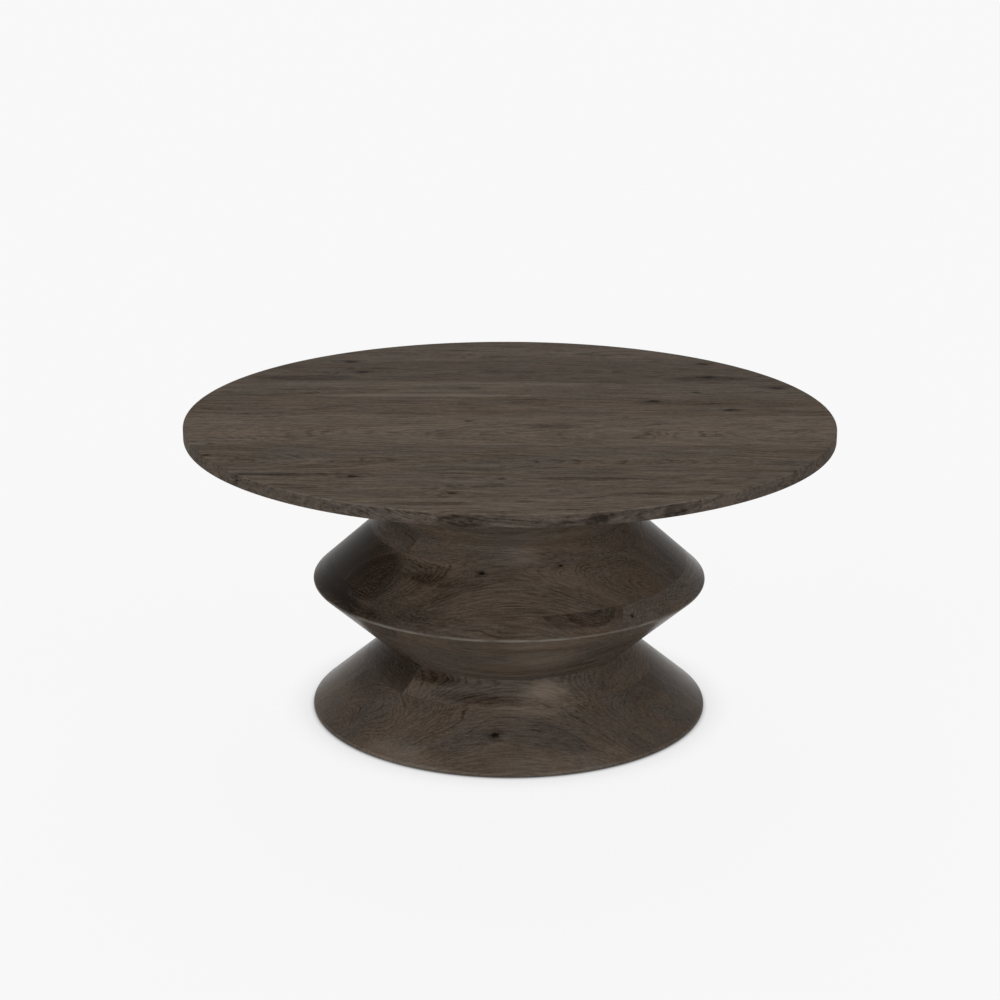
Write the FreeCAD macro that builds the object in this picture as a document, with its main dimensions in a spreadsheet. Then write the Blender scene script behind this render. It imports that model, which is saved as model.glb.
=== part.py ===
# A low round table: a thin round top, glued up from boards, on a turned wooden base.
# The base is a stack of seven bored rings. Its outline is four straight cones that meet
# in a waist, a ridge and a neck, and each ring is glued up from four boards.
# Millimetres, +Z up. The origin is on the floor, under the middle of the table.
import FreeCAD
import Part
import Sketcher
import os

Vector = FreeCAD.Vector
document = FreeCAD.newDocument("drum_table")
sizes = document.addObject("Spreadsheet::Sheet", "sizes")
places = document.addObject("Spreadsheet::Sheet", "places")

# Driving sizes of the table, each with its name
SIZES = (
    ("top_radius", "457.5"),
    ("top_thickness", "18"),
    ("top_chamfer", "1.5"),
    ("end_radius", "284"),
    ("end_land", "3.7"),
    ("end_chamfer", "1.2"),
    ("edge_chamfer", "0.8"),
    ("waist_radius", "174"),
    ("waist_height", "99"),
    ("ridge_radius", "281.5"),
    ("ridge_height", "195.5"),
    ("ridge_chamfer", "2.4"),
    ("neck_height", "292.5"),
    ("end_layer", "67"),
    ("inner_layer", "50.5"),
    ("base_wall", "49"),
    ("board_joint_share", "0.75"),
    ("head_bore_radius", "70"),
    ("plate_radius", "240"),
    ("plate_thickness", "22"),
    ("screw_column_share", "0.75"),
    ("plate_screw_radius", "2.5"),
    ("plate_screw_head_radius", "5"),
    ("plate_screw_length", "35"),
    ("plate_screw_recess_depth", "2"),
    ("bolt_radius", "4"),
    ("bolt_grip", "30"),
    ("bolt_head_radius", "7"),
    ("bolt_head_height", "4.4"),
    ("bolt_head_rim_height", "1.5"),
    ("bolt_head_crown_radius", "4.5"),
    ("bolt_socket_width", "5"),
    ("bolt_socket_depth", "2.6"),
    ("bolt_hole_clearance", "0.5"),
    ("washer_radius", "12"),
    ("washer_thickness", "2"),
    ("washer_clearance", "1"),
    ("insert_radius", "6"),
    ("insert_length", "18"),
    ("glide_radius", "15"),
    ("glide_thickness", "4.5"),
    ("glide_proud", "2"),
    ("glide_inset", "44"),
    ("glide_clearance", "0.5"),
    ("glide_chamfer", "0.8"),
    ("glide_screw_radius", "2"),
    ("glide_screw_head_radius", "4"),
    ("glide_screw_length", "20"),
    ("glide_screw_sink", "1"),
    ("glide_screw_recess_depth", "1.4"),
    ("screw_tip_length", "4"),
    ("screw_point_radius", "0.3"),
    ("recess_arm_share", "0.5"),
    ("recess_web_share", "0.17"),
    ("drill_spare_depth", "1"),
    ("thread_clearance", "0.05"),
    ("head_clearance", "0.1"),
    ("cut_overrun", "10"),
)

# Heights and radii worked out from the driving sizes
PLACES = (
    ("base_bottom", "sizes.glide_proud"),
    ("level_1", "base_bottom + sizes.end_layer"),
    ("level_2", "level_1 + sizes.inner_layer"),
    ("level_3", "level_2 + sizes.inner_layer"),
    ("level_4", "level_3 + sizes.inner_layer"),
    ("level_5", "level_4 + sizes.inner_layer"),
    ("level_6", "level_5 + sizes.inner_layer"),
    ("base_top", "level_6 + sizes.end_layer"),
    ("foot_land_top", "base_bottom + sizes.end_land"),
    ("head_land_bottom", "base_top - sizes.end_land"),
    ("top_underside", "base_top + sizes.plate_thickness"),
    ("base_reach", "max(sizes.end_radius; sizes.ridge_radius) + sizes.cut_overrun"),
    ("top_reach", "sizes.top_radius + sizes.cut_overrun"),
    ("glide_circle_radius", "sizes.end_radius - sizes.glide_inset"),
    ("glide_pocket_depth", "sizes.glide_thickness - sizes.glide_proud"),
    ("washer_seat", "base_top - sizes.bolt_grip"),
    ("bolt_seat", "washer_seat - sizes.washer_thickness"),
    ("bolt_length", "sizes.washer_thickness + sizes.bolt_grip + sizes.insert_length"),
)

# The outline of the base from the floor up: its radius and height at each corner, and
# how far back from it the edge is taken off, where it is
BASE_OUTLINE = (
    ("sizes.end_radius", "places.base_bottom", "sizes.edge_chamfer"),
    ("sizes.end_radius", "places.foot_land_top", "sizes.end_chamfer"),
    ("sizes.waist_radius", "sizes.waist_height"),
    ("sizes.ridge_radius", "sizes.ridge_height", "sizes.ridge_chamfer"),
    ("sizes.waist_radius", "sizes.neck_height"),
    ("sizes.end_radius", "places.head_land_bottom", "sizes.end_chamfer"),
    ("sizes.end_radius", "places.base_top", "sizes.edge_chamfer"),
)

# The rings from the floor up, each with its lower and upper face. Boards run along X
# or across it, and the two narrow rings have boards mitred at their ends.
RINGS = (
    ("foot_ring", "base_bottom", "level_1", "along"),
    ("waist_ring", "level_1", "level_2", "mitred"),
    ("lower_cone_ring", "level_2", "level_3", "along"),
    ("ridge_ring", "level_3", "level_4", "across"),
    ("upper_cone_ring", "level_4", "level_5", "along"),
    ("neck_ring", "level_5", "level_6", "mitred"),
    ("head_ring", "level_6", "base_top", "along"),
)

# Glue joints of the top from front to back, as shares of its radius
TOP_JOINT_SHARES = (-0.853, -0.59, -0.324, 0.017, 0.236, 0.44, 0.669)

# Rows of screws from the plate into the top, as shares of the plate's radius
SCREW_ROW_SHARES = (-0.87, -0.29, 0.24, 0.64)

FULL_TURN = 360
QUARTER_TURN = 90
GLIDE_COUNT = 6
BOLT_COUNT = 6
HEXAGON_SIDES = 6

kept_nodes = []


# Sheets and values

def fill_sheet(sheet, rows, formulas):
    for number, (alias, content) in enumerate(rows, start=1):
        cell = f"B{number}"
        sheet.set(f"A{number}", alias)
        sheet.set(cell, f"={content}" if formulas else content)
        sheet.setAlias(cell, alias)
    document.recompute()


def value(expression):
    result = sizes.evalExpression(expression)
    return float(getattr(result, "Value", result))


def add_place(alias, formula):
    """One more worked-out size, kept on the sheet of places."""
    row = 1 + len([name for name in places.getUsedCells() if name.startswith("A")])
    places.set(f"A{row}", alias)
    places.set(f"B{row}", f"={formula}")
    places.setAlias(f"B{row}", alias)
    document.recompute()
    return f"places.{alias}"


# Sketches and features

def origin_part(body, role):
    return next(part for part in body.Origin.OriginFeatures if part.Role == role)


def new_body(name):
    return document.addObject("PartDesign::Body", name)


def new_sketch(body, name, role, height="0"):
    """A sketch on one of the body's own origin planes, raised to a height."""
    sketch = body.newObject("Sketcher::SketchObject", name)
    sketch.AttachmentSupport = [(origin_part(body, role), "")]
    sketch.MapMode = "FlatFace"
    if height != "0":
        sketch.setExpression("AttachmentOffset.Base.z", height)
    return sketch


def tie(sketch, kind, geometry, point, amount, name):
    """Holds a sketch point at a named distance from the origin."""
    if amount == "0":
        axis = -2 if kind == "DistanceX" else -1
        sketch.addConstraint(Sketcher.Constraint("PointOnObject", geometry, point, axis))
        return
    start = Sketcher.Constraint(kind, -1, 1, geometry, point, value(amount))
    index = sketch.addConstraint(start)
    sketch.renameConstraint(index, name)
    sketch.setExpression(f"Constraints.{name}", amount)


def draw_polygon(sketch, corners):
    """A closed outline. A corner is two named sizes, and a third one cuts it off."""
    spots = [Vector(value(corner[0]), value(corner[1]), 0) for corner in corners]
    count = len(corners)
    starts = list(spots)
    ends = list(spots)
    for index, corner in enumerate(corners):
        if len(corner) == 3:
            back = spots[index - 1] - spots[index]
            forward = spots[(index + 1) % count] - spots[index]
            ends[index] = spots[index] + back * (value(corner[2]) / back.Length)
            starts[index] = spots[index] + forward * (value(corner[2]) / forward.Length)
    sides = []
    for index in range(count):
        side = Part.LineSegment(starts[index], ends[(index + 1) % count])
        sides.append(sketch.addGeometry(side))
    for index, corner in enumerate(corners):
        arriving = sides[index - 1]
        leaving = sides[index]
        point = leaving
        if len(corner) == 2:
            join(sketch, arriving, leaving)
        else:
            point = cut_corner(sketch, arriving, leaving, spots[index], corner[2], index)
        tie(sketch, "DistanceX", point, 1, corner[0], f"across_{index}")
        tie(sketch, "DistanceY", point, 1, corner[1], f"up_{index}")


def join(sketch, arriving, leaving):
    sketch.addConstraint(Sketcher.Constraint("Coincident", arriving, 2, leaving, 1))


def cut_corner(sketch, arriving, leaving, spot, setback, number):
    """Runs a short side across a corner, as far back from it along both its sides."""
    start = sketch.getPoint(arriving, 2)
    end = sketch.getPoint(leaving, 1)
    cut = sketch.addGeometry(Part.LineSegment(start, end))
    join(sketch, arriving, cut)
    join(sketch, cut, leaving)
    point = sketch.addGeometry(Part.Point(spot), True)
    for side, name in ((arriving, "before"), (leaving, "after")):
        sketch.addConstraint(Sketcher.Constraint("PointOnObject", point, 1, side))
        cut_end = 1 if side == arriving else 2
        size = Sketcher.Constraint("Distance", point, 1, cut, cut_end, value(setback))
        index = sketch.addConstraint(size)
        sketch.renameConstraint(index, f"{name}_{number}")
        sketch.setExpression(f"Constraints.{name}_{number}", setback)
    return point


def draw_circle(sketch, radius, across="0", up="0"):
    centre = Vector(value(across), value(up), 0)
    index = sketch.addGeometry(Part.Circle(centre, Vector(0, 0, 1), value(radius)))
    tie(sketch, "DistanceX", index, 3, across, f"across_{index}")
    tie(sketch, "DistanceY", index, 3, up, f"up_{index}")
    constraint = sketch.addConstraint(Sketcher.Constraint("Radius", index, value(radius)))
    sketch.renameConstraint(constraint, f"radius_{index}")
    sketch.setExpression(f"Constraints.radius_{index}", radius)


def revolve(body, corners):
    """A turned solid: an outline of radii and heights, revolved about the Z axis."""
    sketch = new_sketch(body, f"{body.Name}_profile", "XZ_Plane")
    draw_polygon(sketch, corners)
    turned = body.newObject("PartDesign::Revolution", f"{body.Name}_turned")
    turned.Profile = sketch
    turned.ReferenceAxis = (sketch, ["V_Axis"])
    turned.Angle = FULL_TURN
    document.recompute()


def pad(body, sketch, length):
    block = body.newObject("PartDesign::Pad", f"{body.Name}_pad")
    block.Profile = sketch
    block.setExpression("Length", length)
    document.recompute()


def pocket_up(body, name, sketch, depth):
    """Cuts upwards from a sketch, and makes sure that wood was taken away."""
    before = body.Shape.Volume
    cut = body.newObject("PartDesign::Pocket", f"{body.Name}_{name}")
    cut.Profile = sketch
    cut.setExpression("Length", depth)
    cut.Reversed = True
    document.recompute()
    if body.Shape.Volume >= before:
        raise RuntimeError(f"{body.Name}: {name} takes nothing away")
    return cut


def pattern_about_axis(body, feature, count):
    ring = body.newObject("PartDesign::PolarPattern", f"{feature.Name}_ring")
    ring.Originals = [feature]
    ring.Axis = (origin_part(body, "Z_Axis"), [""])
    ring.Angle = FULL_TURN
    ring.Occurrences = count
    body.Tip = ring
    document.recompute()


# Boards and groups

def keep(item, label):
    item.Label = label
    kept_nodes.append(item)


def cutting_box(name, corner, lengths, turn=0):
    """A box, turned about its lower corner, that one board is cut out with."""
    box = document.addObject("Part::Box", name)
    for axis, place in zip("xyz", corner):
        box.setExpression(f".Placement.Base.{axis}", place)
    box.Placement.Rotation = FreeCAD.Rotation(Vector(0, 0, 1), turn)
    for side, length in zip(("Length", "Width", "Height"), lengths):
        box.setExpression(side, length)
    return box


def cut_board(blank, box, label):
    board = document.addObject("Part::Common", f"{label}_board")
    board.Base = blank
    board.Tool = box
    keep(board, label)


def group_copies(pattern, spots, label):
    """Copies of one fastener at the given places, kept together as one node."""
    copies = []
    for number, spot in enumerate(spots, start=1):
        copy = document.addObject("App::Link", f"{label}_{number}")
        copy.LinkedObject = pattern
        for axis, place in zip("xyz", spot):
            copy.setExpression(f".Placement.Base.{axis}", place)
        copies.append(copy)
    group = document.addObject("Part::Compound", f"{label}_group")
    group.Links = copies
    keep(group, label)


def circle_spots(radius, count, height):
    turn = FULL_TURN / count
    return [
        (f"{radius} * cos({number * turn})", f"{radius} * sin({number * turn})", height)
        for number in range(count)
    ]


# The base

def radius_at(height):
    """The base's outer radius at a height, on the cone that passes there."""
    for low, high in zip(BASE_OUTLINE, BASE_OUTLINE[1:]):
        if value(low[1]) <= value(height) <= value(high[1]):
            climb = f"({height} - {low[1]}) / ({high[1]} - {low[1]})"
            return f"({low[0]} + ({high[0]} - {low[0]}) * {climb})"
    raise ValueError(f"{height} is not on the base")


def outline_between(bottom, top):
    """The base's outline from one ring joint, or end face, to the next."""
    first = (radius_at(bottom), bottom)
    last = (radius_at(top), top)
    if bottom == BASE_OUTLINE[0][1]:
        first = BASE_OUTLINE[0]
    if top == BASE_OUTLINE[-1][1]:
        last = BASE_OUTLINE[-1]
    between = [
        corner for corner in BASE_OUTLINE if value(bottom) < value(corner[1]) < value(top)
    ]
    return [first, *between, last]


def ring_blank(name, bottom, top):
    """One turned ring of the base, before it is parted into its boards."""
    outline = outline_between(bottom, top)
    if name == "head_ring":
        bore = "sizes.head_bore_radius"
    else:
        radii = "; ".join(corner[0] for corner in outline)
        bore = add_place(f"{name}_bore", f"min({radii}) - sizes.base_wall")
    blank = new_body(f"{name}_blank")
    revolve(blank, [(bore, bottom), *outline, (bore, top)])
    return blank, bore


def part_ring(name, blank, bore, bottom, top, lay):
    """Parts a ring into its front, back, left and right boards."""
    low = f"{bottom} - sizes.cut_overrun"
    tall = f"{top} - {bottom} + 2 * sizes.cut_overrun"
    reach = "places.base_reach"
    joint = f"{bore} * sizes.board_joint_share"
    if lay == "mitred":
        turns = {"right": -0.5, "back": 0.5, "left": 1.5, "front": 2.5}
        for side, quarters in turns.items():
            corner = ("0", "0", low)
            turn = quarters * QUARTER_TURN
            box = cutting_box(f"{name}_{side}_box", corner, (reach, reach, tall), turn)
            cut_board(blank, box, f"{name}_{side}")
        return
    # Two long boards lie outside the joints, and two short ones between them
    long_size = (f"2 * {reach}", f"{reach} - {joint}", tall)
    short_size = (reach, f"2 * {joint}", tall)
    boxes = {
        "front": (f"-{reach}", f"-{reach}", long_size),
        "back": (f"-{reach}", joint, long_size),
        "left": (f"-{reach}", f"-{joint}", short_size),
        "right": ("0", f"-{joint}", short_size),
    }
    turned_names = {"front": "left", "back": "right", "left": "front", "right": "back"}
    for side, (across, along, lengths) in boxes.items():
        corner = (across, along, low)
        if lay == "across":
            side = turned_names[side]
            corner = (along, across, low)
            lengths = (lengths[1], lengths[0], lengths[2])
        box = cutting_box(f"{name}_{side}_box", corner, lengths)
        cut_board(blank, box, f"{name}_{side}")


def sink_glides(blank):
    """Round pockets under the foot for the glides, with holes for their screws."""
    circle = "places.glide_circle_radius"
    pocket_sketch = new_sketch(blank, "glide_pocket_sketch", "XY_Plane", "places.base_bottom")
    draw_circle(pocket_sketch, "sizes.glide_radius + sizes.glide_clearance", circle)
    pocket = pocket_up(blank, "glide_pocket", pocket_sketch, "places.glide_pocket_depth")
    pattern_about_axis(blank, pocket, GLIDE_COUNT)
    hole_sketch = new_sketch(blank, "glide_hole_sketch", "XY_Plane", "places.base_bottom")
    draw_circle(hole_sketch, "sizes.glide_screw_radius + sizes.thread_clearance", circle)
    tip = "sizes.glide_screw_sink + sizes.glide_screw_length - sizes.glide_proud"
    hole = pocket_up(blank, "glide_hole", hole_sketch, f"{tip} + sizes.drill_spare_depth")
    pattern_about_axis(blank, hole, GLIDE_COUNT)


def drill_head(blank, bolt_circle):
    """Deep counterbores for the bolt heads, with bolt holes right through."""
    bottom = "places.level_6"
    seat_sketch = new_sketch(blank, "washer_seat_sketch", "XY_Plane", bottom)
    draw_circle(seat_sketch, "sizes.washer_radius + sizes.washer_clearance", bolt_circle)
    seat = pocket_up(blank, "washer_seat", seat_sketch, f"places.washer_seat - {bottom}")
    pattern_about_axis(blank, seat, BOLT_COUNT)
    hole_sketch = new_sketch(blank, "bolt_hole_sketch", "XY_Plane", bottom)
    draw_circle(hole_sketch, "sizes.bolt_radius + sizes.bolt_hole_clearance", bolt_circle)
    hole = pocket_up(blank, "bolt_hole", hole_sketch, "sizes.end_layer + sizes.cut_overrun")
    pattern_about_axis(blank, hole, BOLT_COUNT)


def build_base():
    """All seven rings; gives back the radius of the circle that the bolts stand on."""
    bolt_circle = ""
    for name, low, high, lay in RINGS:
        bottom = f"places.{low}"
        top = f"places.{high}"
        blank, bore = ring_blank(name, bottom, top)
        if name == "foot_ring":
            sink_glides(blank)
        if name == "neck_ring":
            middle = f"(sizes.head_bore_radius + {bore}) / 2"
            bolt_circle = add_place("bolt_circle_radius", middle)
        if name == "head_ring":
            drill_head(blank, bolt_circle)
        part_ring(name, blank, bore, bottom, top, lay)
    return bolt_circle


# The top and its plate

def plate_screw_spots(height):
    """Rows of three screws: one in the middle and one near each end of its row."""
    spots = []
    for row_share in SCREW_ROW_SHARES:
        along = f"sizes.plate_radius * {row_share}"
        half_row = f"sizes.plate_radius * sqrt(1 - {row_share}^2)"
        reach = f"{half_row} * sizes.screw_column_share"
        for across in (f"-{reach}", "0", reach):
            spots.append((across, along, height))
    return spots


def build_top():
    """The glued-up panel, rounded and drilled as one, then parted into its boards."""
    underside = "places.top_underside"
    blank = new_body("top_blank")
    face = f"{underside} + sizes.top_thickness"
    corners = [
        ("0", underside),
        ("sizes.top_radius", underside, "sizes.top_chamfer"),
        ("sizes.top_radius", face, "sizes.top_chamfer"),
        ("0", face),
    ]
    revolve(blank, corners)
    hole_sketch = new_sketch(blank, "pilot_sketch", "XY_Plane", underside)
    for across, along, height in plate_screw_spots(underside):
        radius = "sizes.plate_screw_radius + sizes.thread_clearance"
        draw_circle(hole_sketch, radius, across, along)
    bite = "sizes.plate_screw_length - sizes.plate_thickness"
    pocket_up(blank, "pilot_holes", hole_sketch, f"{bite} + sizes.drill_spare_depth")
    reach = "places.top_reach"
    joints = [f"sizes.top_radius * {share}" for share in TOP_JOINT_SHARES]
    edges = [f"-{reach}", *joints, reach]
    for number, (near, far) in enumerate(zip(edges, edges[1:]), start=1):
        corner = (f"-{reach}", near, f"{underside} - sizes.cut_overrun")
        tall = "sizes.top_thickness + 2 * sizes.cut_overrun"
        lengths = (f"2 * {reach}", f"({far}) - ({near})", tall)
        box = cutting_box(f"top_board_{number}_box", corner, lengths)
        cut_board(blank, box, f"top_board_{number}")


def build_plate(bolt_circle):
    """The plywood disc between base and top, with countersunk and insert holes."""
    bottom = "places.base_top"
    plate = new_body("plate_body")
    disc_sketch = new_sketch(plate, "plate_sketch", "XY_Plane", bottom)
    draw_circle(disc_sketch, "sizes.plate_radius")
    pad(plate, disc_sketch, "sizes.plate_thickness")
    insert_sketch = new_sketch(plate, "insert_hole_sketch", "XY_Plane", bottom)
    draw_circle(insert_sketch, "sizes.insert_radius + sizes.thread_clearance", bolt_circle)
    hole = pocket_up(plate, "insert_hole", insert_sketch, "sizes.insert_length")
    pattern_about_axis(plate, hole, BOLT_COUNT)
    screw_sketch = new_sketch(plate, "screw_hole_sketch", "XY_Plane", bottom)
    for across, along, height in plate_screw_spots(bottom):
        draw_circle(screw_sketch, "sizes.plate_screw_radius", across, along)
    drilled = plate.newObject("PartDesign::Hole", "countersunk_holes")
    drilled.Profile = screw_sketch
    drilled.Reversed = True
    drilled.DepthType = "ThroughAll"
    drilled.setExpression("Diameter", "2 * (sizes.plate_screw_radius + sizes.head_clearance)")
    drilled.HoleCutType = "Countersink"
    drilled.HoleCutCustomValues = True
    head_width = "2 * (sizes.plate_screw_head_radius + sizes.head_clearance)"
    drilled.setExpression("HoleCutDiameter", head_width)
    drilled.HoleCutCountersinkAngle = QUARTER_TURN
    document.recompute()
    keep(plate, "mounting_plate")


# Fasteners and glides

def cross_corners(head_radius):
    """The outline of a four-armed driver recess, as shares of the head's radius."""
    arm = f"{head_radius} * sizes.recess_arm_share"
    web = f"{head_radius} * sizes.recess_web_share"
    right = [(arm, f"-{web}"), (arm, web)]
    upper = [(web, web), (web, arm), (f"-{web}", arm), (f"-{web}", web)]
    left = [(f"-{arm}", web), (f"-{arm}", f"-{web}")]
    lower = [(f"-{web}", f"-{web}"), (f"-{web}", f"-{arm}"), (web, f"-{arm}"), (web, f"-{web}")]
    return right + upper + left + lower


def countersunk_screw(kind):
    """A wood screw that points up, with its flat head at height zero."""
    shank = f"sizes.{kind}_radius"
    head = f"sizes.{kind}_head_radius"
    length = f"sizes.{kind}_length"
    screw = new_body(f"{kind}_body")
    shoulder = f"{length} - sizes.screw_tip_length"
    corners = [
        ("0", "0"),
        (head, "0"),
        (shank, f"{head} - {shank}"),
        (shank, shoulder),
        ("sizes.screw_point_radius", length),
        ("0", length),
    ]
    revolve(screw, corners)
    recess_sketch = new_sketch(screw, f"{kind}_recess_sketch", "XY_Plane")
    draw_polygon(recess_sketch, cross_corners(head))
    pocket_up(screw, "recess", recess_sketch, f"sizes.{kind}_recess_depth")
    return screw


def button_bolt():
    """A button-head bolt that points up, with the underside of its head at height zero."""
    bolt = new_body("bolt_body")
    corners = [
        ("0", "-sizes.bolt_head_height"),
        ("sizes.bolt_head_crown_radius", "-sizes.bolt_head_height"),
        ("sizes.bolt_head_radius", "-sizes.bolt_head_rim_height"),
        ("sizes.bolt_head_radius", "0"),
        ("sizes.bolt_radius", "0"),
        ("sizes.bolt_radius", "places.bolt_length"),
        ("0", "places.bolt_length"),
    ]
    revolve(bolt, corners)
    face = "-sizes.bolt_head_height"
    socket_sketch = new_sketch(bolt, "socket_sketch", "XY_Plane", face)
    reach = "sizes.bolt_socket_width / sqrt(3)"
    step = FULL_TURN / HEXAGON_SIDES
    turns = [(number + 0.5) * step for number in range(HEXAGON_SIDES)]
    corners = [(f"{reach} * cos({turn})", f"{reach} * sin({turn})") for turn in turns]
    draw_polygon(socket_sketch, corners)
    pocket_up(bolt, "socket", socket_sketch, "sizes.bolt_socket_depth")
    return bolt


def plain_sleeve(name, inner, outer, length):
    sleeve = new_body(name)
    revolve(sleeve, [(inner, "0"), (outer, "0"), (outer, length), (inner, length)])
    return sleeve


def foot_glide():
    """A round nylon glide with a sunk, countersunk hole for its screw."""
    glide = new_body("glide_body")
    bore = "sizes.glide_screw_radius + sizes.head_clearance"
    head = "sizes.glide_screw_head_radius + sizes.head_clearance"
    sink = "sizes.glide_screw_sink"
    cone_top = f"{sink} + sizes.glide_screw_head_radius - sizes.glide_screw_radius"
    corners = [
        (head, "0"),
        ("sizes.glide_radius - sizes.glide_chamfer", "0"),
        ("sizes.glide_radius", "sizes.glide_chamfer"),
        ("sizes.glide_radius", "sizes.glide_thickness"),
        (bore, "sizes.glide_thickness"),
        (bore, cone_top),
        (head, sink),
    ]
    revolve(glide, corners)
    return glide


def build_fasteners(bolt_circle):
    screw = countersunk_screw("plate_screw")
    group_copies(screw, plate_screw_spots("places.base_top"), "plate_screws")
    bore = "sizes.bolt_radius + sizes.thread_clearance"
    insert = plain_sleeve("insert_body", bore, "sizes.insert_radius", "sizes.insert_length")
    spots = circle_spots(bolt_circle, BOLT_COUNT, "places.base_top")
    group_copies(insert, spots, "threaded_inserts")
    spots = circle_spots(bolt_circle, BOLT_COUNT, "places.bolt_seat")
    group_copies(button_bolt(), spots, "base_bolts")
    hole = "sizes.bolt_radius + sizes.bolt_hole_clearance"
    washer = plain_sleeve("washer_body", hole, "sizes.washer_radius", "sizes.washer_thickness")
    group_copies(washer, spots, "bolt_washers")


def build_glides():
    circle = "places.glide_circle_radius"
    group_copies(foot_glide(), circle_spots(circle, GLIDE_COUNT, "0"), "foot_glides")
    screw = countersunk_screw("glide_screw")
    spots = circle_spots(circle, GLIDE_COUNT, "sizes.glide_screw_sink")
    group_copies(screw, spots, "glide_screws")


# Checks and files

def check_document():
    document.recompute()
    for item in document.Objects:
        if {"Invalid", "Error"} & set(item.State):
            raise RuntimeError(f"{item.Label} is {item.State}")
    for item in kept_nodes:
        if item.Shape.isNull() or not item.Shape.isValid():
            raise RuntimeError(f"{item.Label} has no valid shape")
        if not item.Shape.Solids:
            raise RuntimeError(f"{item.Label} has no solid")


def write_parts():
    os.makedirs("parts", exist_ok=True)
    for item in kept_nodes:
        item.Shape.exportStep(f"parts/{item.Label}.step")
        print(item.Label, len(item.Shape.Solids), round(item.Shape.Volume))


fill_sheet(sizes, SIZES, False)
fill_sheet(places, PLACES, True)
bolt_circle_radius = build_base()
build_top()
build_plate(bolt_circle_radius)
build_fasteners(bolt_circle_radius)
build_glides()
check_document()
write_parts()
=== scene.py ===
# The looks of a low round table in dark-stained solid wood: a thin top of eight boards, a
# turned base of seven rings of four boards, the hardware that holds them, and the stage.
import math
import bmesh
import bpy
from bpy.props import FloatProperty, FloatVectorProperty, IntProperty, PointerProperty
from mathutils import Matrix, Vector


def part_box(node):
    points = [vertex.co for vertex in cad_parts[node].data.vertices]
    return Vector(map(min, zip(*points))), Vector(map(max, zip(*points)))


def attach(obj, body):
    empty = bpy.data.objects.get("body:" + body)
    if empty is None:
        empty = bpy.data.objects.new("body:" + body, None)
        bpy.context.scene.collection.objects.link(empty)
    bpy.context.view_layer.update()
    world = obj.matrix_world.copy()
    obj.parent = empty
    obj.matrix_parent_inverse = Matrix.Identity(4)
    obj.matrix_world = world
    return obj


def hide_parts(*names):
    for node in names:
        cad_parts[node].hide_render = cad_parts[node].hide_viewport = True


bl_info = {
    "name": "Turned Round Table",
    "version": (1, 0, 0),
    "blender": (4, 5, 0),
    "location": "3D View > Sidebar > Round Table",
    "description": "Models the boards of a turned round table and sets its stage",
    "category": "Add Mesh",
}

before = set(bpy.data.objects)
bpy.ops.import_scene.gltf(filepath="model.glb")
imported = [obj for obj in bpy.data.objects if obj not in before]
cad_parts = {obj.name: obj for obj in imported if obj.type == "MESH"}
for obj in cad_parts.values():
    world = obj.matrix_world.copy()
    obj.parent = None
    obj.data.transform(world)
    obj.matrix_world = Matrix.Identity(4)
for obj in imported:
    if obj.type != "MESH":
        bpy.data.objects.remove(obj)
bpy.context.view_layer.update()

MM = 0.001


def linear(hex_colour):
    """An sRGB hex colour as linear red, green and blue."""
    parts = [int(hex_colour[place:place + 2], 16) / 255 for place in (1, 3, 5)]
    return tuple(
        part / 12.92 if part <= 0.04045 else ((part + 0.055) / 1.055) ** 2.4 for part in parts
    )


# Sizes and colours that a user would change

def amount(name, description, default, unit="NONE"):
    return FloatProperty(name=name, description=description, default=default, unit=unit)


def length(name, description, default):
    return amount(name, description, default, "LENGTH")


def swatch(name, description, hex_colour):
    return FloatVectorProperty(
        name=name, description=description, default=linear(hex_colour), subtype="COLOR")


class TableSizes(bpy.types.PropertyGroup):
    top_radius: length("Top radius", "Radius of the round top", 0.4574)
    top_round: length("Top rounding", "Rounding of the upper edge of the top", 0.0022)
    top_under_round: length("Top under rounding", "Rounding of the lower edge of the top", 0.0015)
    end_radius: length("Foot radius", "Radius of the foot and of the head of the base", 0.2839)
    end_land: length("Foot land", "Upright band at the rim of the foot and the head", 0.0037)
    waist_radius: length("Waist radius", "Radius of the waist and of the neck", 0.174)
    waist_height: length("Waist height", "Height of the waist over the floor", 0.099)
    ridge_radius: length("Ridge radius", "Radius of the ridge before its edge is rounded", 0.2815)
    ridge_height: length("Ridge height", "Height of the ridge over the floor", 0.1955)
    neck_height: length("Neck height", "Height of the neck over the floor", 0.2925)
    ridge_round: length("Ridge rounding", "How far the ridge's edge is rounded back", 0.0024)
    foot_round: length("Foot rounding", "How far the foot's upper edge is rounded back", 0.0016)
    base_wall: length("Base wall", "Least thickness of wood round the bores", 0.049)
    head_bore: length("Head bore", "Radius of the bore through the uppermost ring", 0.070)
    glide_circle: length("Glide circle", "Radius of the circle on which the glides stand", 0.240)
    glide_pocket: length("Glide pocket", "Radius of the pocket round a glide", 0.0155)
    bolt_circle: length("Bolt circle", "Radius of the circle of the base's bolts", 0.0975)
    bolt_recess: length("Bolt recess", "Radius of the recess for a bolt's head and washer", 0.013)
    bolt_hole: length("Bolt hole", "Radius of the hole round a bolt", 0.0045)
    steps: IntProperty(name="Steps", description="Flat steps round a turned piece", default=192)


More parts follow.
